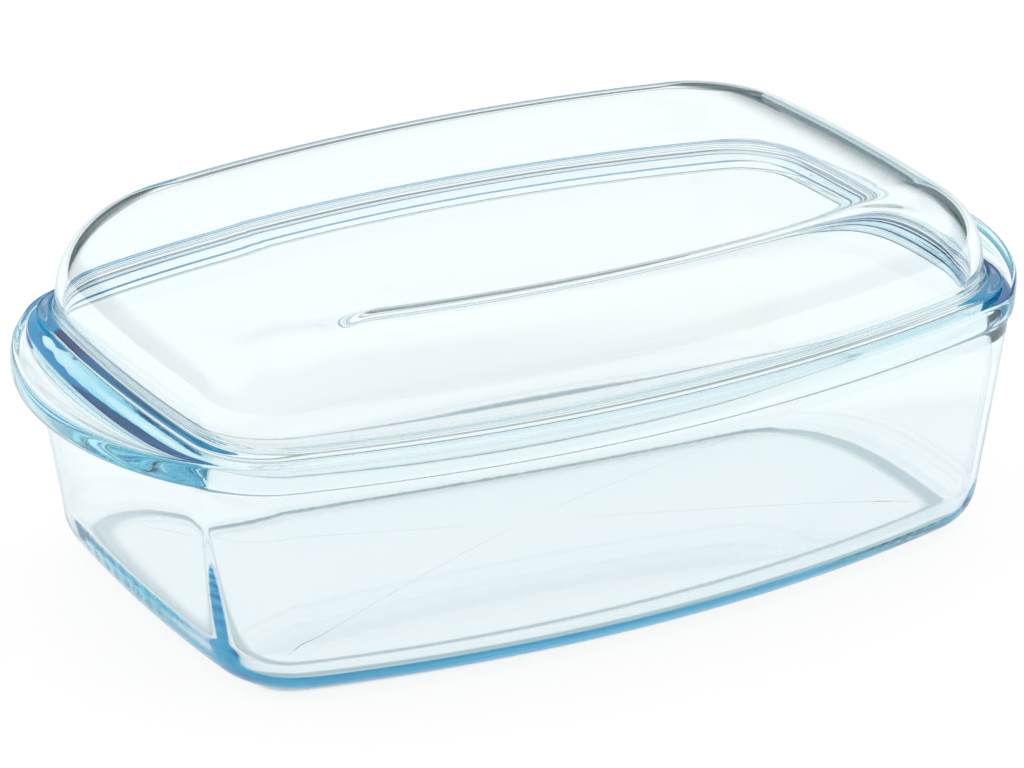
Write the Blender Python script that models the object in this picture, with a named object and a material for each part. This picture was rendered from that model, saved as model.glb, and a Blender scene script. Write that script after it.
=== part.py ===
"""Rectangular glass oven dish with bowed sides, a handle tab at each end and a domed glass lid.

Run with: blender --background --python part.py

The origin is under the centre of the dish, on the surface that it stands on. +X runs along
the dish from handle to handle, +Z is up. Lengths are in metres.
"""

import math

import bmesh
import bpy

# Plan of the rim: four quarter outlines, each an end arc, a corner arc and a side arc.
RIM_HALF_LENGTH = 0.1705
RIM_HALF_WIDTH = 0.1120
RIM_CORNER = 0.0365
SIDE_BOW_RADIUS = 0.5450
END_BOW_RADIUS = 0.7000
END_STEPS = 4
CORNER_STEPS = 6
SIDE_STEPS = 7

# Rim of the dish, in cross-section.
RIM_TOP = 0.0914
RIM_UNDERSIDE = 0.0821
RIM_OVERHANG = 0.0016
NECK_DEPTH = 0.0022
NECK_STEPS = 3
BEAD_WIDTH = 0.0012
BEAD_STEPS = 6
RIM_LAND_OUTER = 0.0040
RIM_LAND_INNER = 0.0100
MOUTH_INSET = 0.0115
MOUTH_ROUND = 0.0020
MOUTH_DEPTH = 0.0060

# Walls and floor of the dish.
END_TAPER = 0.0095
SIDE_TAPER = 0.0040
WALL = 0.0052
FLOOR = 0.0065
WALL_CORNER = 0.0339
WALL_START = 0.0080
WALL_START_TAPER = 0.10
HEEL_RADIUS = 0.0172
HEEL_FULLNESS = 2.25
HEEL_STEPS = 5
HEEL_CORNER = 0.0360
INNER_START = 0.0130
INNER_START_TAPER = 0.20
INNER_CORNER = 0.0245
INNER_HEEL_RADIUS = 0.0142
LEAST_CORNER = 0.0080

# Handle tabs: the rim stretched outwards to an ellipse at each end, and dished on top.
HANDLE_REACH = 0.1910
HANDLE_ELLIPSE_CENTRE = 0.1290
HANDLE_HALF_WIDTH = 0.0910
HANDLE_BLEND = 0.0012
HANDLE_EDGE = 0.06
HANDLE_TOP = 0.92
HANDLE_DIP = 0.0036
HANDLE_ARCH = 0.0010
HANDLE_STEPS = 5

# Lid: a rim flange, a locating lip inside the mouth and a rounded dome.
LID_GAP = 0.0003
LID_EDGE_INSET = 0.0043
LID_FLANGE = 0.0030
FLANGE_ROUND = 0.0010
LIP_INSET = 0.0130
LIP_WIDTH = 0.0035
LIP_DEPTH = 0.0030
LIP_ROUND = 0.0008
LID_TOP = 0.1330
DOME_HALF_LENGTH = 0.1614
DOME_HALF_WIDTH = 0.1039
DOME_END_RUN = 0.0560
DOME_SIDE_RUN = 0.0257
DOME_END_FULLNESS = 2.63
DOME_SIDE_FULLNESS = 2.21
DOME_STEPS = 9
DOME_CORNER = 0.0400
CROWN_CORNER = 0.0130
LID_WALL = 0.0045

# Middle of a rounded edge: how far in it lies from both faces, as a share of the radius.
ROUND_MIDDLE = 1 - math.sqrt(0.5)

GLASS_COLOUR = (0.80, 0.93, 0.95, 1.0)
GLASS_ROUGHNESS = 0.03
GLASS_IOR = 1.47
SHARP_EDGE_DEGREES = 40


def clear_scene():
    for obj in list(bpy.data.objects):
        bpy.data.objects.remove(obj, do_unlink=True)


def arc(centre, radius, start, end, steps):
    """Points along an arc, without the last one, so that arcs can follow each other."""
    points = []
    for step in range(steps):
        angle = start + (end - start) * step / steps
        x = centre[0] + radius * math.cos(angle)
        y = centre[1] + radius * math.sin(angle)
        points.append((x, y))
    return points


def outline(half_length, half_width, corner):
    """A bowed rectangle as a closed ring of points, counterclockwise from the +X end."""
    inset = RIM_HALF_WIDTH - half_width
    side_radius = SIDE_BOW_RADIUS - inset
    end_radius = END_BOW_RADIUS - inset
    side_y = half_width - side_radius
    end_x = half_length - end_radius
    from_side = side_radius - corner
    from_end = end_radius - corner
    # The corner arc touches both long arcs, so its centre is where two circles cross.
    apart = math.hypot(end_x, side_y)
    along = (from_side**2 - from_end**2 + apart**2) / (2 * apart)
    across = math.sqrt(from_side**2 - along**2)
    ux = end_x / apart
    uy = -side_y / apart
    corner_x = along * ux + across * uy
    corner_y = side_y + along * uy - across * ux
    end_turn = math.atan2(corner_y, corner_x - end_x)
    side_turn = math.atan2(corner_y - side_y, corner_x)
    quarter = arc((end_x, 0.0), end_radius, 0.0, end_turn, END_STEPS)
    quarter += arc((corner_x, corner_y), corner, end_turn, side_turn, CORNER_STEPS)
    quarter += arc((0.0, side_y), side_radius, side_turn, math.pi / 2, SIDE_STEPS)
    top = (0.0, half_width)
    left = [(-x, y) for x, y in reversed(quarter)]
    upper = quarter + [top] + left
    lower = [(-x, -y) for x, y in upper[1:-1]]
    return upper + lower


def inset_outline(inset):
    """The rim's outline moved inwards by an equal distance all round."""
    corner = max(RIM_CORNER - inset, LEAST_CORNER)
    return outline(RIM_HALF_LENGTH - inset, RIM_HALF_WIDTH - inset, corner)


def level(points, height):
    return [(x, y, height) for x, y in points]


def handle_reach():
    """How far each point of the rim is drawn out along X to form the handle tabs."""
    reach = []
    depth = HANDLE_REACH - HANDLE_ELLIPSE_CENTRE
    for x, y in inset_outline(0.0):
        share = 1.0 - (y / HANDLE_HALF_WIDTH) ** 2
        if share <= 0.0:
            reach.append(0.0)
            continue
        extra = HANDLE_ELLIPSE_CENTRE + depth * math.sqrt(share) - abs(x)
        extra = 0.5 * (extra + math.hypot(extra, 2 * HANDLE_BLEND))
        reach.append(math.copysign(extra, x))
    most = max(reach)
    full = HANDLE_REACH - RIM_HALF_LENGTH
    return [r * full / most for r in reach]


def rim_level(reach, inset, height, stretch, dip):
    """A ring of the rim: stretch is its share of the handle's reach, dip its drop in the tab."""
    full = HANDLE_REACH - RIM_HALF_LENGTH
    ring = []
    for (x, y), extra in zip(inset_outline(inset), reach):
        weight = min(abs(extra) / full, 1.0)
        ring.append((x + extra * stretch, y, height - dip * weight))
    return ring


def neck_levels(reach):
    """From the wall outwards under the rim, and along the arched underside of the tab."""
    rings = []
    for step in range(NECK_STEPS + 1):
        share = step / NECK_STEPS
        turn = math.pi / 2 * share
        inset = RIM_OVERHANG - (RIM_OVERHANG - BEAD_WIDTH) * share
        height = RIM_UNDERSIDE - NECK_DEPTH * (1 - math.sin(turn))
        stretch = HANDLE_TOP * (1 - math.cos(turn))
        rings.append(rim_level(reach, inset, height, stretch, -HANDLE_ARCH * math.sin(2 * turn)))
    return rings


def bead_levels(reach):
    """Round the outer edge of the rim, from its underside to its top."""
    middle = (RIM_TOP + RIM_UNDERSIDE) / 2
    half = (RIM_TOP - RIM_UNDERSIDE) / 2
    rings = []
    for step in range(1, BEAD_STEPS):
        turn = math.pi * (step / BEAD_STEPS - 0.5)
        inset = BEAD_WIDTH * (1 - math.sqrt(math.cos(turn)))
        stretch = 1 - HANDLE_EDGE * (1 - math.cos(turn))
        rings.append(rim_level(reach, inset, middle + half * math.sin(turn), stretch, 0.0))
    return rings


def top_levels(reach):
    """Across the dished top of the tab to the flat land that the lid sits on."""
    rings = []
    for step in range(HANDLE_STEPS + 1):
        share = step / HANDLE_STEPS
        inset = BEAD_WIDTH + (RIM_LAND_OUTER - BEAD_WIDTH) * share
        dip = HANDLE_DIP * math.sin(math.pi * share)
        rings.append(rim_level(reach, inset, RIM_TOP, HANDLE_TOP * (1 - share), dip))
    rings.append(rim_level(reach, RIM_LAND_INNER, RIM_TOP, 0.0, 0.0))
    return rings


def mouth_levels():
    """Down over the rounded edge of the mouth."""
    in_from_edge = ROUND_MIDDLE * MOUTH_ROUND
    return [
        level(inset_outline(MOUTH_INSET - in_from_edge), RIM_TOP - in_from_edge),
        level(inset_outline(MOUTH_INSET), RIM_TOP - MOUTH_ROUND),
        level(inset_outline(MOUTH_INSET), RIM_TOP - MOUTH_DEPTH),
    ]


def wall_outline(share, inset, corner):
    """Outline of the dish's outer wall, share of the way down it, moved inwards by inset."""
    half_length = RIM_HALF_LENGTH - RIM_OVERHANG - END_TAPER * share - inset
    half_width = RIM_HALF_WIDTH - RIM_OVERHANG - SIDE_TAPER * share - inset
    return outline(half_length, half_width, corner)


def heel(radius, thickness, wall_corner, bottom):
    """Rings round the rounded heel, from the wall down to the flat floor."""
    rings = []
    power = 2 / HEEL_FULLNESS
    for step in range(HEEL_STEPS + 1):
        angle = math.pi / 2 * step / HEEL_STEPS
        inwards = radius * (1 - max(math.cos(angle), 0.0) ** power)
        height = bottom + radius * (1 - math.sin(angle) ** power)
        corner = max(wall_corner - inwards, LEAST_CORNER)
        rings.append(level(wall_outline(1.0, thickness + inwards, corner), height))
    return rings


def dish_levels():
    """All rings of the dish, from the middle of its base out, up, over the rim and down inside."""
    outer = heel(HEEL_RADIUS, 0.0, HEEL_CORNER, 0.0)
    outer.reverse()
    points = wall_outline(WALL_START_TAPER, 0.0, WALL_CORNER)
    wall_top = level(points, RIM_UNDERSIDE - WALL_START)
    reach = handle_reach()
    rim = neck_levels(reach) + bead_levels(reach) + top_levels(reach) + mouth_levels()
    points = wall_outline(INNER_START_TAPER, WALL, INNER_CORNER)
    inner_top = level(points, RIM_UNDERSIDE - INNER_START)
    inner = heel(INNER_HEEL_RADIUS, WALL, INNER_CORNER, FLOOR)
    return outer + [wall_top] + rim + [inner_top] + inner


def run_in(rise, fullness):
    """How far in a rounded shoulder is, from 0 to 1, at this share of its height."""
    return 1 - max(1 - rise**fullness, 0.0) ** (1 / fullness)


def dome(thickness):
    """Rings of the lid's dome from its foot up to the flat crown, moved inwards by thickness."""
    rings = []
    foot = RIM_TOP + LID_GAP + LID_FLANGE
    for step in range(DOME_STEPS + 1):
        rise = math.sin(math.pi / 2 * step / DOME_STEPS)
        end = run_in(rise, DOME_END_FULLNESS)
        side = run_in(rise, DOME_SIDE_FULLNESS)
        half_length = DOME_HALF_LENGTH - thickness - (DOME_END_RUN - thickness) * end
        half_width = DOME_HALF_WIDTH - thickness - (DOME_SIDE_RUN - thickness) * side
        share = (end + side) / 2
        corner = DOME_CORNER - thickness - (DOME_CORNER - thickness - CROWN_CORNER) * share
        points = outline(half_length, half_width, corner)
        rings.append(level(points, foot + (LID_TOP - thickness - foot) * rise))
    return rings


def lid_levels():
    """All rings of the lid, from the crown down outside, round the flange and lip and up inside."""
    outer = dome(0.0)
    outer.reverse()
    bottom = RIM_TOP + LID_GAP
    top = bottom + LID_FLANGE
    lip_bottom = bottom - LIP_DEPTH
    lip_inner = LIP_INSET + LIP_WIDTH
    section = (
        (LID_EDGE_INSET + FLANGE_ROUND, top - ROUND_MIDDLE * FLANGE_ROUND),
        (LID_EDGE_INSET, top - FLANGE_ROUND),
        (LID_EDGE_INSET, bottom + FLANGE_ROUND),
        (LID_EDGE_INSET + FLANGE_ROUND, bottom),
        (LIP_INSET, bottom),
        (LIP_INSET, lip_bottom + LIP_ROUND),
        (LIP_INSET + LIP_ROUND, lip_bottom),
        (lip_inner - LIP_ROUND, lip_bottom),
        (lip_inner, lip_bottom + LIP_ROUND),
    )
    flange = [level(inset_outline(inset), height) for inset, height in section]
    return outer + flange + dome(LID_WALL)


def glass(name):
    material = bpy.data.materials.new(name)
    material.use_nodes = True
    shader = material.node_tree.nodes["Principled BSDF"]
    shader.inputs["Base Color"].default_value = GLASS_COLOUR
    shader.inputs["Roughness"].default_value = GLASS_ROUGHNESS
    shader.inputs["Metallic"].default_value = 0.0
    shader.inputs["IOR"].default_value = GLASS_IOR
    shader.inputs["Transmission Weight"].default_value = 1.0
    material.diffuse_color = GLASS_COLOUR
    return material


def lofted(name, levels, material):
    """One closed solid from rings of equal count, with a flat face across its first and last."""
    mesh = bpy.data.meshes.new(name)
    bm = bmesh.new()
    rings = [[bm.verts.new(point) for point in ring] for ring in levels]
    for lower, upper in zip(rings, rings[1:]):
        for i in range(len(lower)):
            j = (i + 1) % len(lower)
            bm.faces.new((lower[i], lower[j], upper[j], upper[i]))
    bm.faces.new(rings[0])
    bm.faces.new(rings[-1])
    bmesh.ops.recalc_face_normals(bm, faces=bm.faces)
    bm.to_mesh(mesh)
    bm.free()
    mesh.shade_smooth()
    mesh.set_sharp_from_angle(angle=math.radians(SHARP_EDGE_DEGREES))
    mesh.materials.append(material)
    obj = bpy.data.objects.new(name, mesh)
    bpy.context.scene.collection.objects.link(obj)
    return obj


def main():
    clear_scene()
    lofted("dish", dish_levels(), glass("dish glass"))
    lofted("lid", lid_levels(), glass("lid glass"))


main()
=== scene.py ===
"""Covered glass oven dish: a pressed dish with a handle tab at each end, and its domed lid."""

import math

import bmesh
import bpy
from bpy.props import FloatProperty, FloatVectorProperty, IntProperty, PointerProperty
from mathutils import Matrix, Vector


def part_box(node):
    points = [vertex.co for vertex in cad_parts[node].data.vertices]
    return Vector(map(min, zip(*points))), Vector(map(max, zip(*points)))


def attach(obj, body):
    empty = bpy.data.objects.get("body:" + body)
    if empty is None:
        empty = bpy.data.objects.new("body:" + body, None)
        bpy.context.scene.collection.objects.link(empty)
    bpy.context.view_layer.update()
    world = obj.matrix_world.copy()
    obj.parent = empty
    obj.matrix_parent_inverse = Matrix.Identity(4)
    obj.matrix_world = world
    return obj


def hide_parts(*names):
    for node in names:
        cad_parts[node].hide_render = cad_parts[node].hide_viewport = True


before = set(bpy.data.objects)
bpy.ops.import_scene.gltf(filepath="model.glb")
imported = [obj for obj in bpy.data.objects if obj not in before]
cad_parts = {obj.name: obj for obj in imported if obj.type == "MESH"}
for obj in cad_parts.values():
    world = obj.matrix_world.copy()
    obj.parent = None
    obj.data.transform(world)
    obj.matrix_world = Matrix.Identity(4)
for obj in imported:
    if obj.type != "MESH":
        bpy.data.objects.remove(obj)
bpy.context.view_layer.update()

bl_info = {
    "name": "Covered Glass Oven Dish",
    "version": (1, 0, 0),
    "blender": (4, 5, 0),
    "location": "View3D > Sidebar > Glassware",
    "description": "Models a pressed-glass oven dish and its lid around a packed frame",
    "category": "Add Mesh",
}

DISH_LOW, DISH_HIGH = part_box("dish")
LID_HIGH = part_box("lid")[1]
CENTRE = (DISH_LOW + DISH_HIGH) / 2
RIGHT_ANGLE = math.pi / 2

# Lengths in metres.
LEAST_CORNER = 0.008
MERGE_DISTANCE = 2e-5
SAME_HEIGHT = 1e-6
FACE_INSETS = (0.002, 0.004, 0.006)
FLOOR_GAP = 0.0005

# Painted shadow on the floor under the heel, in place of the heel's contact shadow: half sizes and
# corner of its plan, and its softness.
FOOT_SHADOW_LENGTH = 0.1465
FOOT_SHADOW_WIDTH = 0.0935
FOOT_SHADOW_CORNER = 0.0200
FOOT_SHADOW_SOFTNESS = 0.0050

# Points of the rounded edges, in radii from their faces.
MOUTH_IN = 0.2
MOUTH_DOWN = 0.3
FLANGE_TOP = 0.4
FLANGE_SIDE = 1.3
LIP_SIDE = 0.3
LIP_UNDER = 1.3

# How much of the taper is done where the flat of the outer and of the inner wall starts.
WALL_START_TAPER = 0.10
INNER_START_TAPER = 0.20

# Heights between which fine marks show, and the length over which they fade.
DISH_MARKS = ((0.075, 0.120, 0.010), (-0.010, 0.012, 0.008))
LID_MARKS = ((0.085, 0.097, 0.006),)


# ---------------------------------------------------------------- settings


def length(name, description, default):
    """A length in metres that the sidebar shows in the scene's own units."""
    return FloatProperty(
        name=name, description=description, default=default, precision=5, unit="LENGTH"
    )


def number(name, description, default):
    return FloatProperty(name=name, description=description, default=default, precision=4)


def count(name, description, default):
    return IntProperty(name=name, description=description, default=default, min=2)


def angle(name, description, default):
    return FloatProperty(
        name=name, description=description, default=math.radians(default), subtype="ANGLE"
    )


def colour(name, description, default):
    return FloatVectorProperty(
        name=name, description=description, default=default, subtype="COLOR", min=0, max=1
    )


class RimSettings(bpy.types.PropertyGroup):
    """The plan that every ring of the dish and of the lid follows."""

    half_length: length("Half length", "Middle of the dish to the rim's end", 0.1705)
    half_width: length("Half width", "Middle of the dish to the rim's side", DISH_HIGH.y)
    corner: length("Corner", "Radius of the rim's corners", 0.0365)
    side_bow: length("Side bow", "Radius of the long sides, which bow outwards", 0.5450)
    end_bow: length("End bow", "Radius of the short ends, which bow outwards", 0.7000)
    end_steps: count("End steps", "Steps along half of an end", 6)
    corner_steps: count("Corner steps", "Steps round a corner", 10)
    side_steps: count("Side steps", "Steps along half of a side", 11)
    smoothing: count("Smoothing", "Levels of subdivision on the finished glass", 2)


class DishSettings(bpy.types.PropertyGroup):
    """Sizes of the dish."""

    top: length("Top", "Height of the rim", DISH_HIGH.z)
    rim_depth: length("Rim depth", "Thickness of the rim from top to underside", 0.0093)
    overhang: length("Overhang", "How far the rim stands out from the wall", 0.0016)
    neck: length("Neck", "Height over which the wall turns out into the rim", 0.0022)
    bead: length("Bead", "How round the rim's outer edge is", 0.0012)
    land_outer: length("Land, outer", "Rim's edge to the flat land that the lid sits on", 0.0040)
    land_inner: length("Land, inner", "Rim's edge to the inner side of that land", 0.0100)
    mouth: length("Mouth", "Rim's edge to the mouth", 0.0115)
    mouth_round: length("Mouth edge", "Radius of the mouth's rounded edge", 0.0020)
    mouth_depth: length("Mouth depth", "Height of the upright band inside the mouth", 0.0060)
    end_taper: length("End taper", "How far each end leans in towards the base", 0.0095)
    side_taper: length("Side taper", "How far each side leans in towards the base", 0.0040)
    wall: length("Wall", "Thickness of the walls", 0.0052)
    wall_corner: length("Wall corner", "Radius of the corners under the rim", 0.0339)
    wall_start: length("Wall start", "Underside of the rim to the start of the flat wall", 0.0080)
    floor: length("Floor", "Thickness of the floor", 0.0065)
    heel: length("Heel", "Radius of the rounded edge under the walls", 0.0172)
    heel_fullness: number("Heel fullness", "2 is a round heel, more is squarer", 2.25)
    heel_corner: length("Heel corner", "Radius of the corners at the top of the heel", 0.0360)
    heel_steps: count("Heel steps", "Steps round the heel", 8)
    inner_start: length("Inner start", "Rim's underside to the start of the inner wall", 0.0130)
    inner_corner: length("Inner corner", "Radius of the corners inside the dish", 0.0245)
    inner_heel: length("Inner heel", "Radius of the rounded edge inside the dish", 0.0142)


class TabSettings(bpy.types.PropertyGroup):
    """Sizes of the handle tabs, the rim stretched outwards to an ellipse and dished on top."""

    reach: length("Reach", "Middle of the dish to the tip of a tab", DISH_HIGH.x)
    middle: length("Middle", "Middle of the dish to the middle of a tab's ellipse", 0.1290)
    half_width: length("Half width", "Half width of a tab's ellipse", 0.0910)
    blend: length("Blend", "How softly a tab runs into the rim", 0.0012)
    edge: number("Edge", "Share of the tab's reach that its rounded edge takes", 0.06)
    top: number("Top", "Share of the tab's reach where its dished top ends", 0.92)
    dip: length("Dip", "How deep the tab's top is dished", 0.0036)
    arch: length("Arch", "How high the tab's underside is arched", 0.0010)
    neck_steps: count("Neck steps", "Steps from the wall out under the tab", 4)
    bead_steps: count("Bead steps", "Steps round the tab's outer edge", 8)
    top_steps: count("Top steps", "Steps across the tab's dished top", 8)


class LidSettings(bpy.types.PropertyGroup):
    """Sizes of the lid."""

    bottom: length("Bottom", "Height of the flange's underside", DISH_HIGH.z + 0.0003)
    top: length("Top", "Height of the crown", LID_HIGH.z - 0.00002)
    edge: length("Edge", "Dish's rim edge to the lid's edge", 0.0043)
    flange: length("Flange", "Thickness of the flange", 0.0030)
    flange_round: length("Flange edge", "Radius of the flange's rounded edge", 0.0010)
    lip: length("Lip", "Dish's rim edge to the lip that keeps the lid in place", 0.0130)
    lip_width: length("Lip width", "Width of that lip", 0.0035)
    lip_depth: length("Lip depth", "How far the lip hangs into the mouth", 0.0030)
    lip_round: length("Lip edge", "Radius of the lip's rounded edges", 0.0008)
    half_length: length("Dome half length", "Half length of the dome's foot", 0.1614)
    half_width: length("Dome half width", "Half width of the dome's foot", 0.1039)
    end_run: length("End run", "How far the dome runs in at an end", 0.0560)
    side_run: length("Side run", "How far the dome runs in at a side", 0.0257)
    end_fullness: number("End fullness", "2 is a round end, more is squarer", 2.63)
    side_fullness: number("Side fullness", "2 is a round side, more is squarer", 2.21)
    foot_corner: length("Foot corner", "Radius of the corners at the dome's foot", 0.0400)
    crown_corner: length("Crown corner", "Radius of the corners at the crown", 0.0130)
    wall: length("Wall", "Thickness of the dome", 0.0045)
    steps: count("Dome steps", "Steps up the dome", 18)


class GlassSettings(bpy.types.PropertyGroup):
    """Finish of the pressed glass."""

    tint: colour("Tint", "Colour that light takes on inside the glass", (0.05, 0.76, 0.90))
    depth: number("Tint depth", "How quickly light takes on that colour, per metre", 10.0)
    ior: number("Index of refraction", "How strongly the glass bends light", 1.48)
    # Face-on and edge colours: where the glass is seen edge-on its base colour turns dark teal,
    # partly the deeper tint of light's long way through the glass and partly painted shade in place
    # of the dark surroundings its edges show.
    clear: colour("Face-on colour", "Glass looked at squarely", (1.0, 1.0, 1.0))
    edge: colour("Edge colour", "Glass looked at along its surface", (0.05, 0.20, 0.26))
    edge_width: number("Edge width", "How far the edge colour reaches over a curve", 0.30)
    gloss: number("Gloss", "Roughness of the polished glass", 0.0)
    scuff: number("Scuffs", "Extra roughness where the glass is handled", 0.05)
    wave: length("Waviness", "Height of the slow waves that pressing leaves", 0.00002)
    stipple: length("Stipple", "Height of the fine chill marks near the rim and heel", 0.00001)


class StudioSettings(bpy.types.PropertyGroup):
    """Floor, light and camera."""

    floor_size: length("Floor size", "Side of the square floor", 6.0)
    floor_colour: colour("Floor colour", "Colour of the floor", (0.20, 0.20, 0.20))
    # The next two settings paint a dark teal shadow into the sheet's glow under the heel: how
    # strong it is and its colour.
    painted_foot_shadow: number("Foot shade", "How much of the sheet's glow the heel takes", 0.60)
    painted_shadow_colour: colour("Foot colour", "Colour of the sheet under the heel", (0.10, 0.26, 0.32))
    floor_glow: number("Floor glow", "Light from under the floor's white sheet", 0.86)
    sky: number("Sky", "Brightness of the light tent", 1.0)
    azimuth: angle("Azimuth", "Turn of the camera from the front", -29.54)
    elevation: angle("Elevation", "Height of the camera over the level", 23.249)
    distance: length("Distance", "Camera to what it looks at", 1.7107)
    aim: length("Aim height", "Height of what the camera looks at", 0.070)
    lens: number("Lens", "Focal length in millimetres", 164.98)
    shift_x: number("Shift X", "Sideways shift of the frame", -0.01064)
    shift_y: number("Shift Y", "Upward shift of the frame", -0.0319)


# ---------------------------------------------------------------- plan of a ring


def crossing(rim, half_length, half_width, corner):
    """Centres of a quarter outline's end, corner and side arcs, and the turns between them."""
    inset = rim.half_width - half_width
    side_radius = rim.side_bow - inset
    end_radius = rim.end_bow - inset
    side_y = half_width - side_radius
    end_x = half_length - end_radius
    from_side = side_radius - corner
    from_end = end_radius - corner
    # The corner arc touches both long arcs, so its centre is where two circles cross.
    apart = math.hypot(end_x, side_y)
    along = (from_side**2 - from_end**2 + apart**2) / (2 * apart)
    across = math.sqrt(from_side**2 - along**2)
    ux = end_x / apart
    uy = -side_y / apart
    corner_x = along * ux + across * uy
    corner_y = side_y + along * uy - across * ux
    end_turn = math.atan2(corner_y, corner_x - end_x)
    side_turn = math.atan2(corner_y - side_y, corner_x)
    return (
        ((end_x, 0.0), end_turn, rim.end_steps),
        ((corner_x, corner_y), side_turn - end_turn, rim.corner_steps),
        ((0.0, side_y), RIGHT_ANGLE - side_turn, rim.side_steps),
    )


class Ring:
    """One level of a piece: the arcs of its quarter outline, its height and its tab."""

    def __init__(self, rim, half_length, half_width, corner, height, stretch=0.0, dip=0.0):
        self.start = half_length
        self.height = height
        self.arcs = crossing(rim, half_length, half_width, corner)
        self.stretch = stretch
        self.dip = dip


def inset_ring(rim, inset, height, stretch=0.0, dip=0.0):
    """A ring that follows the rim's edge, moved inwards by the same distance all round."""
    corner = max(rim.corner - inset, LEAST_CORNER)
    return Ring(
        rim, rim.half_length - inset, rim.half_width - inset, corner, height, stretch, dip
    )


def shares(steps):
    """Evenly spaced numbers from 0 to 1."""
    return [step / steps for step in range(steps + 1)]


# ---------------------------------------------------------------- modelling


def mesh_of(obj):
    bm = bmesh.from_edit_mesh(obj.data)
    bm.verts.ensure_lookup_table()
    return bm


def choose(obj, points=(), edges=()):
    """Selects these points and edges of the mesh in hand, and nothing else."""
    bpy.ops.mesh.select_all(action="DESELECT")
    bm = mesh_of(obj)
    for index in points:
        bm.verts[index].select = True
    for first, second in edges:
        bm.edges.get((bm.verts[first], bm.verts[second])).select = True
    bm.select_flush_mode()
    bmesh.update_edit_mesh(obj.data)


def start_point(name, place):
    """A new object, in edit mode, that is one point at this place."""
    bpy.ops.object.select_all(action="DESELECT")
    bpy.ops.mesh.primitive_plane_add(size=0.01, location=(0, 0, 0))
    obj = bpy.context.object
    obj.name = name
    obj.data.name = name
    bpy.ops.object.mode_set(mode="EDIT")
    bpy.ops.mesh.select_mode(type="VERT")
    bpy.ops.mesh.select_all(action="SELECT")
    bpy.ops.mesh.merge(type="CENTER")
    # Leaving edit mode packs the points, so that new ones are numbered in the order they come.
    bpy.ops.object.mode_set(mode="OBJECT")
    bpy.ops.object.mode_set(mode="EDIT")
    bpy.ops.transform.translate(value=place)
    return obj


def draw_profile(rings):
    """Extrudes the selected point into the line where the piece is cut along its middle."""
    for here, following in zip(rings, rings[1:]):
        move = (following.start - here.start, 0.0, following.height - here.height)
        bpy.ops.mesh.extrude_vertices_move(TRANSFORM_OT_translate={"value": move})


def spin_quarter(obj, start, ring):
    """Spins one point of the profile round its ring's three arcs, and lists the points."""
    chain = [start]
    for (x, y), turn, steps in ring.arcs:
        choose(obj, points=chain[-1:])
        before = len(mesh_of(obj).verts)
        bpy.ops.mesh.spin(
            steps=steps, angle=-turn, center=(x, y, ring.height), axis=(0, 0, 1)
        )
        chain += range(before, len(mesh_of(obj).verts))
    return chain


def bridge(obj, below, above):
    """Joins two chains of points with a strip of faces."""
    edges = [*zip(below, below[1:]), *zip(above, above[1:])]
    choose(obj, edges=edges)
    bpy.ops.mesh.bridge_edge_loops()


def close_ends(obj, heights):
    """Puts one face across the open ring at each of these heights."""
    for height in heights:
        bm = mesh_of(obj)
        edges = [
            [vert.index for vert in edge.verts]
            for edge in bm.edges
            if edge.is_boundary and all(abs(v.co.z - height) < SAME_HEIGHT for v in edge.verts)
        ]
        choose(obj, edges=edges)
        bpy.ops.mesh.edge_face_add()
        for step in FACE_INSETS:
            bpy.ops.mesh.inset(thickness=step)


def apply_modifier(obj, kind, **settings):
    modifier = obj.modifiers.new(kind.title(), kind)
    for name, value in settings.items():
        setattr(modifier, name, value)
    bpy.ops.object.modifier_apply(modifier=modifier.name)


def press(name, rings, smoothing, shape=None):
    """A closed piece of glass through these rings, made as a quarter and then mirrored.

    The shape step, if there is one, moves points of the quarter before its faces are made.
    """
    obj = start_point(name, (rings[0].start, 0.0, rings[0].height))
    draw_profile(rings)
    chains = [spin_quarter(obj, index, ring) for index, ring in enumerate(rings)]
    if shape is not None:
        shape(obj, chains)
    bpy.ops.mesh.select_mode(type="EDGE")
    for below, above in zip(chains, chains[1:]):
        bridge(obj, below, above)
    bpy.ops.object.mode_set(mode="OBJECT")
    apply_modifier(obj, "MIRROR", use_axis=(True, True, False), merge_threshold=MERGE_DISTANCE)
    bpy.ops.object.mode_set(mode="EDIT")
    close_ends(obj, (rings[0].height, rings[-1].height))
    bpy.ops.mesh.select_all(action="SELECT")
    bpy.ops.mesh.normals_make_consistent(inside=False)
    bpy.ops.object.mode_set(mode="OBJECT")
    levels = {"levels": smoothing, "render_levels": smoothing}
    apply_modifier(obj, "SUBSURF", use_limit_surface=False, **levels)
    bpy.ops.object.shade_smooth()
    return obj


# ---------------------------------------------------------------- shaders


class Value:
    """An output of a node. Arithmetic on it adds Math nodes."""

    def __init__(self, shader, socket):
        self.shader = shader
        self.socket = socket

    def __add__(self, other):
        return self.shader.math("ADD", self, other)

    def __radd__(self, other):
        return self.shader.math("ADD", other, self)

    def __sub__(self, other):
        return self.shader.math("SUBTRACT", self, other)

    def __rsub__(self, other):
        return self.shader.math("SUBTRACT", other, self)

    def __mul__(self, other):
        return self.shader.math("MULTIPLY", self, other)

    def __rmul__(self, other):
        return self.shader.math("MULTIPLY", other, self)


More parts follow.
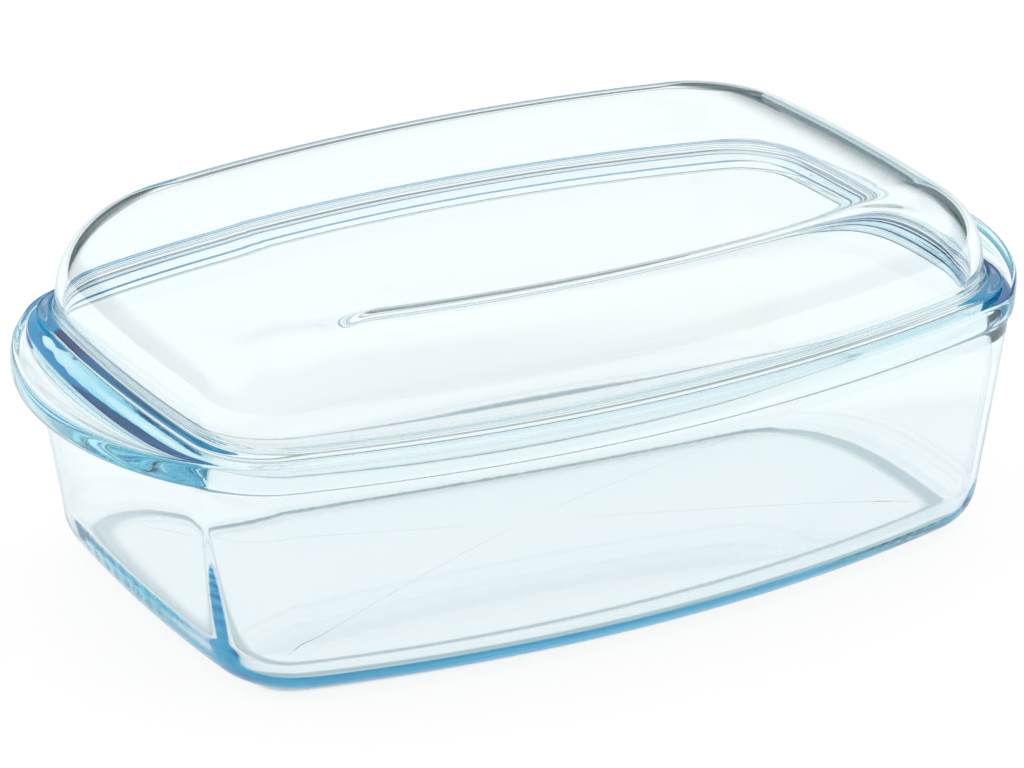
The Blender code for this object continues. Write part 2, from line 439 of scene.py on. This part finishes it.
class Shader:
    """The node tree of a material or of the world."""

    def __init__(self, owner):
        owner.use_nodes = True
        self.tree = owner.node_tree

    def node(self, kind, settings=None, inputs=None, output=0):
        """Adds a node, makes its settings, then fills or links its inputs."""
        node = self.tree.nodes.new(kind)
        for name, value in (settings or {}).items():
            if name == "stops":
                self.set_stops(node.color_ramp, value)
            else:
                setattr(node, name, value)
        self.fill(node, inputs or {})
        return Value(self, node.outputs[output])

    def math(self, operation, *values):
        """A Math node on one, two or three values."""
        inputs = dict(enumerate(values))
        return self.node("ShaderNodeMath", {"operation": operation}, inputs)

    def fill(self, node, inputs):
        for name, value in inputs.items():
            if isinstance(value, Value):
                self.tree.links.new(value.socket, node.inputs[name])
            else:
                node.inputs[name].default_value = value

    def set_stops(self, ramp, stops):
        ramp.elements[1].position = 1.0
        for position, _ in stops[1:-1]:
            ramp.elements.new(position)
        for element, (position, shade) in zip(ramp.elements, stops):
            element.position = position
            element.color = (*shade, 1.0)

    def place(self):
        """Object coordinates in metres, and the height of the point."""
        where = self.node("ShaderNodeTexCoord", output="Object")
        return where, self.axes(where)[2]

    def axes(self, where):
        """The X, Y and Z of a place, each on its own."""
        split = "ShaderNodeSeparateXYZ"
        return [self.node(split, inputs={"Vector": where}, output=axis) for axis in "XYZ"]

    def noise(self, where, size, detail=2.0, roughness=0.5):
        """Noise from 0 to 1 whose lumps are about this many metres across."""
        return self.node(
            "ShaderNodeTexNoise",
            inputs={"Vector": where, "Scale": 1 / size, "Detail": detail, "Roughness": roughness},
        )

    def between(self, value, low, high):
        """0 below low and 1 above high, with a smooth rise between."""
        return self.node(
            "ShaderNodeMapRange",
            {"interpolation_type": "SMOOTHSTEP"},
            {"Value": value, "From Min": low, "From Max": high},
        )


def mix(shader, factor, first, second):
    """A colour between two colours."""
    inputs = {0: factor, 6: (*first, 1.0), 7: (*second, 1.0)}
    return shader.node("ShaderNodeMix", {"data_type": "RGBA"}, inputs, 2)


def pressed_glass(name, glass, marks):
    """Clear glass with a blue depth, painted dark edges where it is seen edge-on, slow pressing
    waves, and fine marks at these heights.
    """
    material = bpy.data.materials.new(name)
    shader = Shader(material)
    where, height = shader.place()
    marked = 0.0
    for low, high, fade in marks:
        above = shader.between(height, low - fade, low)
        below = 1 - shader.between(height, high, high + fade)
        marked = above * below + marked
    waves = shader.noise(where, 0.035, 1.0)
    stipple = shader.noise(where, 0.0022, 3.0, 0.6)
    relief = waves * glass.wave + stipple * marked * glass.stipple
    bump = shader.node("ShaderNodeBump", None, {"Height": relief, "Distance": 1.0}, "Normal")
    smears = shader.between(shader.noise(where, 0.020, 4.0), 0.55, 0.80)
    # Painted dark edges: the base colour goes towards the edge colour where the glass is seen
    # edge-on, partly the deeper tint of a long path and partly painted shade.
    facing = shader.node("ShaderNodeLayerWeight", None, {"Blend": 0.5}, "Facing")
    along = shader.between(facing, 1 - glass.edge_width, 1.0)
    surface = {
        "Base Color": mix(shader, along, glass.clear, glass.edge),
        "Roughness": smears * marked * glass.scuff + glass.gloss,
        "Normal": bump,
        "Metallic": 0.0,
        "IOR": glass.ior,
        "Transmission Weight": 1.0,
    }
    shader.fill(shader.tree.nodes["Principled BSDF"], surface)
    inside = {"Color": (*glass.tint, 1.0), "Density": glass.depth}
    tint = shader.node("ShaderNodeVolumeAbsorption", None, inside)
    shader.fill(shader.tree.nodes["Material Output"], {"Volume": tint})
    return material


def light_tent(name, studio):
    """White cloth all round, dark towards the camera and in a band near the horizon."""
    world = bpy.data.worlds.new(name)
    shader = Shader(world)
    where = shader.node("ShaderNodeTexCoord", output="Generated")
    x, y, up = shader.axes(where)
    out = shader.math("SQRT", x * x + y * y + 1e-6)
    ahead = y * math.cos(studio.azimuth) - x * math.sin(studio.azimuth)
    ahead = shader.math("DIVIDE", ahead, out)
    height = shader.math("ARCSINE", up) * (1 / math.pi) + 0.5
    back = shader.node("ShaderNodeValToRGB", {"stops": TENT_BACK}, {"Fac": height})
    side = shader.node("ShaderNodeValToRGB", {"stops": TENT_SIDES}, {"Fac": height})
    front = shader.node("ShaderNodeValToRGB", {"stops": TENT_FRONT}, {"Fac": height})
    to_back = shader.between(ahead, 0.45, 0.75)
    to_front = shader.between(ahead, -0.30, -0.75)
    walls = shader.node("ShaderNodeMix", {"data_type": "RGBA"}, {0: to_back, 6: side, 7: back}, 2)
    tent = shader.node("ShaderNodeMix", {"data_type": "RGBA"}, {0: to_front, 6: walls, 7: front}, 2)
    background = {"Color": tent, "Strength": studio.sky}
    shader.fill(shader.tree.nodes["Background"], background)
    return world


def white_sheet(name, studio, rim):
    """Matt white paper, lit a little from below, with a faint grain, and a painted dark teal shadow
    in its glow under the heel.
    """
    material = bpy.data.materials.new(name)
    shader = Shader(material)
    where, _ = shader.place()
    grain = shader.noise(where, 0.004, 3.0)
    shade = tuple(0.985 * part for part in studio.floor_colour)
    # Painted shadow: a soft band just inside the heel's footprint, where the sheet's glow is turned
    # towards the shadow colour.
    x, y, _ = shader.axes(where)
    beyond_end = shader.math("ABSOLUTE", x) + y * y * (0.5 / rim.end_bow) - FOOT_SHADOW_LENGTH
    beyond_side = shader.math("ABSOLUTE", y) + x * x * (0.5 / rim.side_bow) - FOOT_SHADOW_WIDTH
    outside = shader.math("SMOOTH_MAX", beyond_end, beyond_side, FOOT_SHADOW_CORNER)
    painted_heel_shadow = shader.between(outside, -2 * FOOT_SHADOW_SOFTNESS, -FOOT_SHADOW_SOFTNESS) * (
        1 - shader.between(outside, -0.25 * FOOT_SHADOW_SOFTNESS, 0.25 * FOOT_SHADOW_SOFTNESS)
    )
    lit = (1.0, 1.0, 1.0)
    # The sheet's glow, with the painted shadow under the heel.
    glow = mix(shader, painted_heel_shadow * studio.painted_foot_shadow, lit, studio.painted_shadow_colour)
    surface = {
        "Base Color": mix(shader, grain, shade, studio.floor_colour),
        "Roughness": 0.7,
        "Specular IOR Level": 0.2,
        "Emission Color": glow,
        "Emission Strength": studio.floor_glow,
    }
    shader.fill(shader.tree.nodes["Principled BSDF"], surface)
    return material


# ---------------------------------------------------------------- dish


def tab_reach(rim, tab):
    """How far each point of a quarter of the rim is drawn outwards to form the tab."""
    depth = tab.reach - tab.middle
    reach = []
    for x, y in quarter_points(rim):
        share = 1.0 - (y / tab.half_width) ** 2
        if share <= 0.0:
            reach.append(0.0)
            continue
        extra = tab.middle + depth * math.sqrt(share) - x
        reach.append(0.5 * (extra + math.hypot(extra, 2 * tab.blend)))
    full = tab.reach - rim.half_length
    return [extra * full / reach[0] for extra in reach]


def quarter_points(rim):
    """Points along a quarter of the rim's edge, from the end to the side."""
    points = [Vector((rim.half_length, 0.0))]
    for centre, turn, steps in crossing(rim, rim.half_length, rim.half_width, rim.corner):
        centre = Vector(centre)
        away = points[-1] - centre
        for share in shares(steps)[1:]:
            points.append(centre + Matrix.Rotation(turn * share, 2) @ away)
    return points


def neck_rings(rim, dish, tab):
    """From the wall outwards under the rim, and along the arched underside of the tab."""
    under = dish.top - dish.rim_depth
    for share in shares(tab.neck_steps):
        turn = RIGHT_ANGLE * share
        inset = dish.overhang - (dish.overhang - dish.bead) * share
        height = under - dish.neck * (1 - math.sin(turn))
        stretch = tab.top * (1 - math.cos(turn))
        yield inset_ring(rim, inset, height, stretch, -tab.arch * math.sin(2 * turn))


def bead_rings(rim, dish, tab):
    """Round the outer edge of the rim, from its underside to its top."""
    half = dish.rim_depth / 2
    for share in shares(tab.bead_steps)[1:-1]:
        turn = math.pi * (share - 0.5)
        inset = dish.bead * (1 - math.sqrt(math.cos(turn)))
        height = dish.top - half + half * math.sin(turn)
        yield inset_ring(rim, inset, height, 1 - tab.edge * (1 - math.cos(turn)))


def top_rings(rim, dish, tab):
    """Across the dished top of the tab to the flat land that the lid sits on."""
    for share in shares(tab.top_steps):
        inset = dish.bead + (dish.land_outer - dish.bead) * share
        dip = tab.dip * math.sin(math.pi * share)
        yield inset_ring(rim, inset, dish.top, tab.top * (1 - share), dip)
    yield inset_ring(rim, dish.land_inner, dish.top)


def mouth_rings(rim, dish):
    """Down over the rounded edge of the mouth."""
    edge = dish.mouth_round
    yield inset_ring(rim, dish.mouth - MOUTH_IN * edge, dish.top - MOUTH_DOWN * edge)
    yield inset_ring(rim, dish.mouth, dish.top - edge)
    yield inset_ring(rim, dish.mouth, dish.top - dish.mouth_depth)


def wall_ring(rim, dish, share, inset, corner, height):
    """A ring of the wall, share of the way down it, moved inwards by inset."""
    half_length = rim.half_length - dish.overhang - dish.end_taper * share - inset
    half_width = rim.half_width - dish.overhang - dish.side_taper * share - inset
    return Ring(rim, half_length, half_width, corner, height)


def heel_rings(rim, dish, radius, thickness, wall_corner, bottom):
    """Rings round the rounded heel, from the wall down to the flat floor."""
    power = 2 / dish.heel_fullness
    rings = []
    for share in shares(dish.heel_steps):
        turn = RIGHT_ANGLE * share
        inwards = radius * (1 - max(math.cos(turn), 0.0) ** power)
        height = bottom + radius * (1 - math.sin(turn) ** power)
        corner = max(wall_corner - inwards, LEAST_CORNER)
        rings.append(wall_ring(rim, dish, 1.0, thickness + inwards, corner, height))
    return rings


def dish_rings(rim, dish, tab):
    """All rings of the dish, from its base out, up, over the rim and down inside."""
    under = dish.top - dish.rim_depth
    outer = heel_rings(rim, dish, dish.heel, 0.0, dish.heel_corner, 0.0)
    wall_top = wall_ring(
        rim, dish, WALL_START_TAPER, 0.0, dish.wall_corner, under - dish.wall_start
    )
    inner_top = wall_ring(
        rim,
        dish,
        INNER_START_TAPER,
        dish.wall,
        dish.inner_corner,
        under - dish.inner_start,
    )
    inner = heel_rings(
        rim, dish, dish.inner_heel, dish.wall, dish.inner_corner, dish.floor
    )
    return [
        *reversed(outer),
        wall_top,
        *neck_rings(rim, dish, tab),
        *bead_rings(rim, dish, tab),
        *top_rings(rim, dish, tab),
        *mouth_rings(rim, dish),
        inner_top,
        *inner,
    ]


def draw_out_tab(rim, tab, rings):
    """Returns the step that pulls the rim's rings out into a tab and dishes its top."""
    reach = tab_reach(rim, tab)
    full = tab.reach - rim.half_length

    def shape(obj, chains):
        for ring, chain in zip(rings, chains):
            if ring.stretch == 0:
                continue
            for extra, index in zip(reach, chain):
                if extra == 0:
                    continue
                choose(obj, points=[index])
                drop = ring.dip * min(extra / full, 1.0)
                bpy.ops.transform.translate(value=(extra * ring.stretch, 0.0, -drop))

    return shape


class GLASSWARE_OT_dish(bpy.types.Operator):
    """Presses the dish: walls, heel, rim and the two handle tabs in one piece of glass"""

    bl_idname = "glassware.dish"
    bl_label = "Press the Dish"
    bl_options = {"REGISTER", "UNDO"}

    def execute(self, context):
        scene = context.scene
        rim = scene.glass_rim
        rings = dish_rings(rim, scene.glass_dish, scene.glass_tab)
        tab = draw_out_tab(rim, scene.glass_tab, rings)
        dish = press("glass_dish", rings, rim.smoothing, tab)
        finish = pressed_glass("dish pressed glass", scene.glass_finish, DISH_MARKS)
        dish.data.materials.append(finish)
        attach(dish, "dish")
        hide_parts("dish")
        return {"FINISHED"}


# ---------------------------------------------------------------- lid


def run_in(rise, fullness):
    """How far in a rounded shoulder is, from 0 to 1, at this share of its height."""
    return 1 - max(1 - rise**fullness, 0.0) ** (1 / fullness)


def dome_rings(rim, lid, thickness):
    """Rings of the dome from its foot to the flat crown, moved inwards by thickness."""
    foot = lid.bottom + lid.flange
    foot_corner = lid.foot_corner - thickness
    fullness = (lid.end_fullness + lid.side_fullness) / 2
    rings = []
    for share in shares(lid.steps):
        left = math.cos(RIGHT_ANGLE * share)
        rise = (1 - max(left, 0.0) ** fullness) ** (1 / fullness)
        end = run_in(rise, lid.end_fullness)
        side = run_in(rise, lid.side_fullness)
        half_length = lid.half_length - thickness - (lid.end_run - thickness) * end
        half_width = lid.half_width - thickness - (lid.side_run - thickness) * side
        corner = foot_corner - (foot_corner - lid.crown_corner) * (end + side) / 2
        height = foot + (lid.top - thickness - foot) * rise
        rings.append(Ring(rim, half_length, half_width, corner, height))
    return rings


def lid_rings(rim, lid):
    """All rings of the lid, from the crown down outside, round the flange and up inside."""
    bottom = lid.bottom
    top = bottom + lid.flange
    edge = lid.flange_round
    lip_bottom = bottom - lid.lip_depth
    lip_inner = lid.lip + lid.lip_width
    lip_edge = lid.lip_round
    section = (
        (lid.edge + edge, top - FLANGE_TOP * edge),
        (lid.edge, top - FLANGE_SIDE * edge),
        (lid.edge, bottom + edge),
        (lid.edge + edge, bottom),
        (lid.lip, bottom),
        (lid.lip + LIP_SIDE * lip_edge, lip_bottom + lip_edge),
        (lid.lip + LIP_UNDER * lip_edge, lip_bottom),
        (lip_inner - lip_edge, lip_bottom),
        (lip_inner, lip_bottom + lip_edge),
    )
    flange = [inset_ring(rim, inset, height) for inset, height in section]
    return [*reversed(dome_rings(rim, lid, 0.0)), *flange, *dome_rings(rim, lid, lid.wall)]


class GLASSWARE_OT_lid(bpy.types.Operator):
    """Presses the lid: dome, flange and the lip that keeps it in the dish's mouth"""

    bl_idname = "glassware.lid"
    bl_label = "Press the Lid"
    bl_options = {"REGISTER", "UNDO"}

    def execute(self, context):
        scene = context.scene
        rings = lid_rings(scene.glass_rim, scene.glass_lid)
        lid = press("glass_lid", rings, scene.glass_rim.smoothing)
        finish = pressed_glass("lid pressed glass", scene.glass_finish, LID_MARKS)
        lid.data.materials.append(finish)
        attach(lid, "lid")
        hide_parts("lid")
        return {"FINISHED"}


# ---------------------------------------------------------------- studio


def add_floor(studio, rim):
    bpy.ops.object.select_all(action="DESELECT")
    bpy.ops.mesh.primitive_plane_add(
        size=studio.floor_size, location=(CENTRE.x, CENTRE.y, DISH_LOW.z - FLOOR_GAP)
    )
    floor = bpy.context.object
    floor.name = "floor"
    bpy.ops.object.transform_apply(location=True)
    floor.data.materials.append(white_sheet("white sheet", studio, rim))


def add_camera(studio):
    turn, rise = studio.azimuth, studio.elevation
    back = Vector(
        (math.sin(turn) * math.cos(rise), -math.cos(turn) * math.cos(rise), math.sin(rise))
    )
    place = Vector((CENTRE.x, CENTRE.y, studio.aim)) + back * studio.distance
    facing = (-back).to_track_quat("-Z", "Y").to_euler()
    bpy.ops.object.camera_add(location=place, rotation=facing)
    camera = bpy.context.object
    camera.name = "camera"
    camera.data.sensor_width = 36
    camera.data.lens = studio.lens
    camera.data.shift_x = studio.shift_x
    camera.data.shift_y = studio.shift_y
    camera.data.clip_end = 50
    bpy.context.scene.camera = camera


class GLASSWARE_OT_studio(bpy.types.Operator):
    """Sets up the white floor, the light tent round it and the camera"""

    bl_idname = "glassware.studio"
    bl_label = "Set Up the Studio"
    bl_options = {"REGISTER", "UNDO"}

    def execute(self, context):
        scene = context.scene
        studio = scene.glass_studio
        add_floor(studio, scene.glass_rim)
        add_camera(studio)
        scene.world = light_tent("light tent", studio)
        scene.view_settings.view_transform = "Standard"
        # Light runs along the inside of thick glass for many bounces before it leaves.
        cycles = scene.cycles
        cycles.max_bounces = 96
        cycles.transmission_bounces = 96
        cycles.glossy_bounces = 96
        cycles.caustics_reflective = False
        return {"FINISHED"}


def grey(level):
    return (level, level, level)


def at(degrees):
    """Where this height above the horizon lies on a tent's ramp."""
    return degrees / 180 + 0.5


TENT_BACK = (
    (at(-90), grey(0.95)),
    (at(-8), grey(1.00)),
    (at(-3), (0.08, 0.11, 0.12)),
    (at(12), (0.08, 0.11, 0.12)),
    (at(17), grey(1.00)),
    (at(38), grey(1.00)),
    (at(43), (0.40, 0.44, 0.43)),
    (at(52), (0.40, 0.44, 0.43)),
    (at(60), grey(1.15)),
    (at(90), grey(1.20)),
)
TENT_SIDES = (
    (at(-90), grey(0.95)),
    (at(-8), grey(1.00)),
    (at(-2), (0.10, 0.14, 0.15)),
    (at(10), (0.10, 0.14, 0.15)),
    (at(18), grey(1.00)),
    (at(90), grey(1.10)),
)
TENT_FRONT = (
    (at(-90), grey(0.95)),
    (at(-5), grey(0.85)),
    (at(3), grey(0.25)),
    (at(45), grey(0.25)),
    (at(60), grey(1.05)),
    (at(90), grey(1.20)),
)


class GLASSWARE_PT_panel(bpy.types.Panel):
    """Lists what the glassware tools make"""

    bl_label = "Covered Oven Dish"
    bl_idname = "GLASSWARE_PT_panel"
    bl_space_type = "VIEW_3D"
    bl_region_type = "UI"
    bl_category = "Glassware"

    def draw(self, context):
        scene = context.scene
        for step in STEPS:
            self.layout.operator(step.bl_idname)
        for group in SETTINGS:
            box = self.layout.box()
            box.label(text=group.removeprefix("glass_").title())
            settings = getattr(scene, group)
            for name in settings.__annotations__:
                box.prop(settings, name)


SETTINGS = {
    "glass_rim": RimSettings,
    "glass_dish": DishSettings,
    "glass_tab": TabSettings,
    "glass_lid": LidSettings,
    "glass_finish": GlassSettings,
    "glass_studio": StudioSettings,
}
STEPS = (GLASSWARE_OT_dish, GLASSWARE_OT_lid, GLASSWARE_OT_studio)
CLASSES = (*SETTINGS.values(), *STEPS, GLASSWARE_PT_panel)


def register():
    for cls in CLASSES:
        bpy.utils.register_class(cls)
    for name, group in SETTINGS.items():
        setattr(bpy.types.Scene, name, PointerProperty(type=group))


def unregister():
    for name in SETTINGS:
        delattr(bpy.types.Scene, name)
    for cls in reversed(CLASSES):
        bpy.utils.unregister_class(cls)


def main():
    register()
    bpy.ops.glassware.dish()
    bpy.ops.glassware.lid()
    bpy.ops.glassware.studio()


if __name__ == "__main__":
    main()
